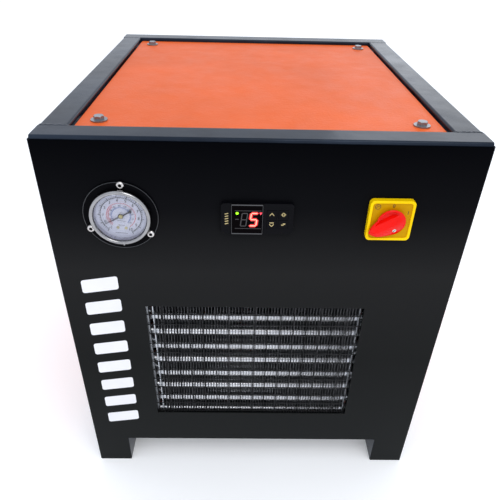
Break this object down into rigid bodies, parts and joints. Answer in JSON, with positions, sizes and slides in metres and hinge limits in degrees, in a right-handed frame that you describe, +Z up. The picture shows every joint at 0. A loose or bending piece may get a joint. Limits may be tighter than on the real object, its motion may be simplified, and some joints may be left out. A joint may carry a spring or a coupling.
{
  "type": "refrigerated air dryer",
  "caption": "Cabinet refrigerated compressed-air dryer with front grille, digital controller, dial gauge, rotary main switch and rear threaded air ports.",
  "frame": {"origin": "centre of the footprint on the floor", "axes": "+X to the right seen from the front, +Y from the front to the rear, +Z up"},
  "size_m": [0.46, 0.522, 0.5165],
  "materials": {
    "frame_black": "gloss black enamel on welded tube",
    "front_black": "semi-gloss black powder coat on sheet",
    "orange_panel": "orange textured powder coat",
    "zinc": "bright zinc plate",
    "mesh_black": "black coated wire",
    "fin_aluminium": "bare thin aluminium",
    "copper": "drawn copper",
    "galvanised": "galvanised sheet",
    "machine_black": "satin black paint",
    "fan_aluminium": "pressed aluminium",
    "laminations": "steel laminations and cast iron",
    "rubber": "black rubber",
    "foam": "black closed-cell foam",
    "cast_aluminium": "brazed and cast aluminium",
    "brass": "machined brass",
    "pipe_steel": "plain steel pipe",
    "lever_red": "red dipped steel",
    "black_plastic": "moulded black plastic",
    "smoked_window": "smoked gloss plastic",
    "switch_yellow": "moulded yellow plastic",
    "switch_red": "moulded red plastic",
    "gauge_black": "gloss black paint",
    "gauge_chrome": "polished steel",
    "gauge_glass": "clear window",
    "dial_white": "printed aluminium dial",
    "pointer_black": "black pointer with a brass hub"
  },
  "bodies": {
    "cabinet": {"air_pipes": "pipe_steel", "base_pan": "frame_black", "bottom_rails": "frame_black", "cable_gland": "black_plastic", "capillary_tube": "copper", "compressor_base": "machine_black", "compressor_bolts": "zinc", "compressor_grommets": "rubber", "compressor_shell": "machine_black", "compressor_stator": "laminations", "compressor_terminal_cover": "black_plastic", "condenser_end_plates": "galvanised", "condenser_fins": "fin_aluminium", "condenser_tubes": "fin_aluminium", "controller_case": "black_plastic", "controller_window": "smoked_window", "corner_feet": "frame_black", "corner_posts": "frame_black", "drain_ball_valve": "brass", "drain_coil": "black_plastic", "drain_valve_body": "brass", "exchanger_insulation": "foam", "fan_motor": "machine_black", "fan_motor_bracket": "galvanised", "fan_shroud": "galvanised", "filter_drier": "copper", "front_panel": "front_black", "gauge_bezel": "gauge_chrome", "gauge_case": "gauge_black", "gauge_dial": "dial_white", "gauge_lens": "gauge_glass", "gauge_screws": "gauge_chrome", "grille_mesh": "mesh_black", "heat_exchanger": "cast_aluminium", "hot_gas_valve": "brass", "left_side_panel": "orange_panel", "panel_bolts": "zinc", "panel_tabs": "frame_black", "panel_washers": "zinc", "rear_panel": "orange_panel", "rear_ports": "brass", "refrigerant_lines": "copper", "right_side_panel": "orange_panel", "run_capacitor": "cast_aluminium", "switch_body": "black_plastic", "switch_plate": "switch_yellow", "terminal_block": "black_plastic", "top_panel": "orange_panel", "top_rails": "frame_black", "water_separator": "cast_aluminium"},
    "knob": {"switch_knob": "switch_red"},
    "pointer": {"gauge_pointer": "pointer_black"},
    "fan": {"fan_blades": "fan_aluminium"},
    "rotor": {"compressor_rotor": "laminations"},
    "up_key": {"key_up": "black_plastic"},
    "set_key": {"key_set": "black_plastic"},
    "down_key": {"key_down": "black_plastic"},
    "back_key": {"key_back": "black_plastic"},
    "plunger": {"drain_plunger": "zinc"},
    "lever": {"drain_lever": "lever_red"}
  },
  "joints": [
    {"name": "switch_turn", "type": "hinge", "parent": "cabinet", "child": "knob", "pos_m": [0.138, -0.247, 0.43], "axis": [0, -1, 0], "range_deg": [0, 60]},
    {"name": "gauge_sweep", "type": "hinge", "parent": "cabinet", "child": "pointer", "pos_m": [-0.148, -0.247, 0.429], "axis": [0, 1, 0], "range_deg": [-20.8, 271]},
    {"name": "fan_spin", "type": "hinge", "parent": "cabinet", "child": "fan", "pos_m": [0, -0.153, 0.206], "axis": [0, 1, 0], "continuous": true},
    {"name": "rotor_spin", "type": "hinge", "parent": "cabinet", "child": "rotor", "pos_m": [-0.105, 0.1, 0.2], "axis": [0, 0, 1], "continuous": true},
    {"name": "up_press", "type": "slide", "parent": "cabinet", "child": "up_key", "axis": [0, 1, 0], "range_m": [0, 0.0005], "stiffness_N_per_m": 600, "springref_m": -0.0008},
    {"name": "set_press", "type": "slide", "parent": "cabinet", "child": "set_key", "axis": [0, 1, 0], "range_m": [0, 0.0005], "stiffness_N_per_m": 600, "springref_m": -0.0008},
    {"name": "down_press", "type": "slide", "parent": "cabinet", "child": "down_key", "axis": [0, 1, 0], "range_m": [0, 0.0005], "stiffness_N_per_m": 600, "springref_m": -0.0008},
    {"name": "back_press", "type": "slide", "parent": "cabinet", "child": "back_key", "axis": [0, 1, 0], "range_m": [0, 0.0005], "stiffness_N_per_m": 600, "springref_m": -0.0008},
    {"name": "plunger_lift", "type": "slide", "parent": "cabinet", "child": "plunger", "axis": [0, 0, 1], "range_m": [0, 0.003], "stiffness_N_per_m": 300, "springref_m": -0.004},
    {"name": "lever_turn", "type": "hinge", "parent": "cabinet", "child": "lever", "pos_m": [0.11, 0.163, 0.112], "axis": [1, 0, 0], "range_deg": [0, 90]}
  ]
}
